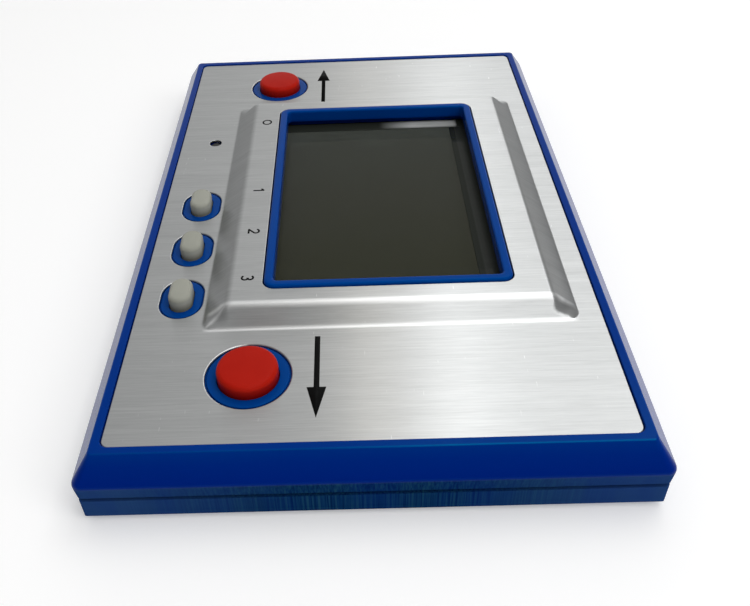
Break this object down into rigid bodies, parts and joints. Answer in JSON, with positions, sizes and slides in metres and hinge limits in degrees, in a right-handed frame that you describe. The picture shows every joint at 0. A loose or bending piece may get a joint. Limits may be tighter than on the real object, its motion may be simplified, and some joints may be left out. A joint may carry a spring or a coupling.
{
  "type": "handheld game console",
  "caption": "Flat handheld LCD game console with a bevelled blue case, brushed metal face plate, framed display, red thumb buttons, small grey keys and a sliding battery cover.",
  "frame": {"origin": "middle of the flat back, which lies on z = 0", "axes": "+X towards the right end, +Y towards the top edge, +Z out of the face"},
  "size_m": [0.091, 0.06, 0.0109],
  "materials": {
    "case_plastic": "moulded blue plastic, satin gloss",
    "plate_metal": "brushed sheet",
    "adhesive": "clear film",
    "lens": "polished clear plastic",
    "display_glass": "polished",
    "polarizer": "dark film",
    "reflector": "matt foil",
    "holder_plastic": "moulded",
    "rubber": "moulded silicone rubber",
    "board": "glass-fibre laminate with solder mask",
    "carbon": "printed carbon",
    "chip": "moulded epoxy",
    "bright_metal": "plated",
    "brass": "rolled sheet",
    "ceramic": "fired",
    "capacitor_body": "fired",
    "resistor_body": "coated",
    "button_red": "moulded, satin",
    "key_grey": "moulded rubbery plastic",
    "reset_black": "moulded"
  },
  "bodies": {
    "console": {"front_case": "case_plastic", "rear_case": "case_plastic", "face_plate": "plate_metal", "plate_adhesive": "adhesive", "display_window": "lens", "lcd_front_polarizer": "polarizer", "lcd_front_glass": "display_glass", "lcd_rear_glass": "display_glass", "lcd_reflector": "reflector", "lcd_holder": "holder_plastic", "connector_strip_upper": "rubber", "connector_strip_lower": "rubber", "circuit_board": "board", "contact_pads": "carbon", "processor_chip": "chip", "chip_legs": "bright_metal", "crystal": "bright_metal", "capacitors": "capacitor_body", "resistors": "resistor_body", "left_dome": "rubber", "right_dome": "rubber", "select_dome_1": "rubber", "select_dome_2": "rubber", "clock_dome": "rubber", "reset_dome": "rubber", "battery_cell_1": "bright_metal", "battery_cell_2": "bright_metal", "battery_spring_plus": "bright_metal", "battery_spring_minus": "bright_metal", "buzzer_disc": "brass", "buzzer_ceramic": "ceramic", "buzzer_springs": "bright_metal", "case_screws": "bright_metal", "board_screws": "bright_metal"},
    "left_thumb": {"left_button": "button_red"},
    "right_thumb": {"right_button": "button_red"},
    "select_1": {"select_key_1": "key_grey"},
    "select_2": {"select_key_2": "key_grey"},
    "clock": {"clock_key": "key_grey"},
    "reset": {"reset_button": "reset_black"},
    "cover": {"battery_cover": "case_plastic", "battery_link": "bright_metal"}
  },
  "joints": [
    {"name": "left_press", "type": "slide", "parent": "console", "child": "left_thumb", "axis": [0, 0, -1], "range_m": [0, 0.0008], "stiffness_N_per_m": 1200, "springref_m": -0.0003, "deforming": ["left_dome"]},
    {"name": "right_press", "type": "slide", "parent": "console", "child": "right_thumb", "axis": [0, 0, -1], "range_m": [0, 0.0008], "stiffness_N_per_m": 1200, "springref_m": -0.0003, "deforming": ["right_dome"]},
    {"name": "select_1_press", "type": "slide", "parent": "console", "child": "select_1", "axis": [0, 0, -1], "range_m": [0, 0.0008], "stiffness_N_per_m": 1000, "springref_m": -0.0003, "deforming": ["select_dome_1"]},
    {"name": "select_2_press", "type": "slide", "parent": "console", "child": "select_2", "axis": [0, 0, -1], "range_m": [0, 0.0008], "stiffness_N_per_m": 1000, "springref_m": -0.0003, "deforming": ["select_dome_2"]},
    {"name": "clock_press", "type": "slide", "parent": "console", "child": "clock", "axis": [0, 0, -1], "range_m": [0, 0.0008], "stiffness_N_per_m": 1000, "springref_m": -0.0003, "deforming": ["clock_dome"]},
    {"name": "reset_press", "type": "slide", "parent": "console", "child": "reset", "axis": [0, 0, -1], "range_m": [0, 0.0008], "stiffness_N_per_m": 800, "springref_m": -0.0003, "deforming": ["reset_dome"]},
    {"name": "cover_slide", "type": "slide", "parent": "console", "child": "cover", "axis": [0, 1, 0], "range_m": [0, 0.034]}
  ]
}
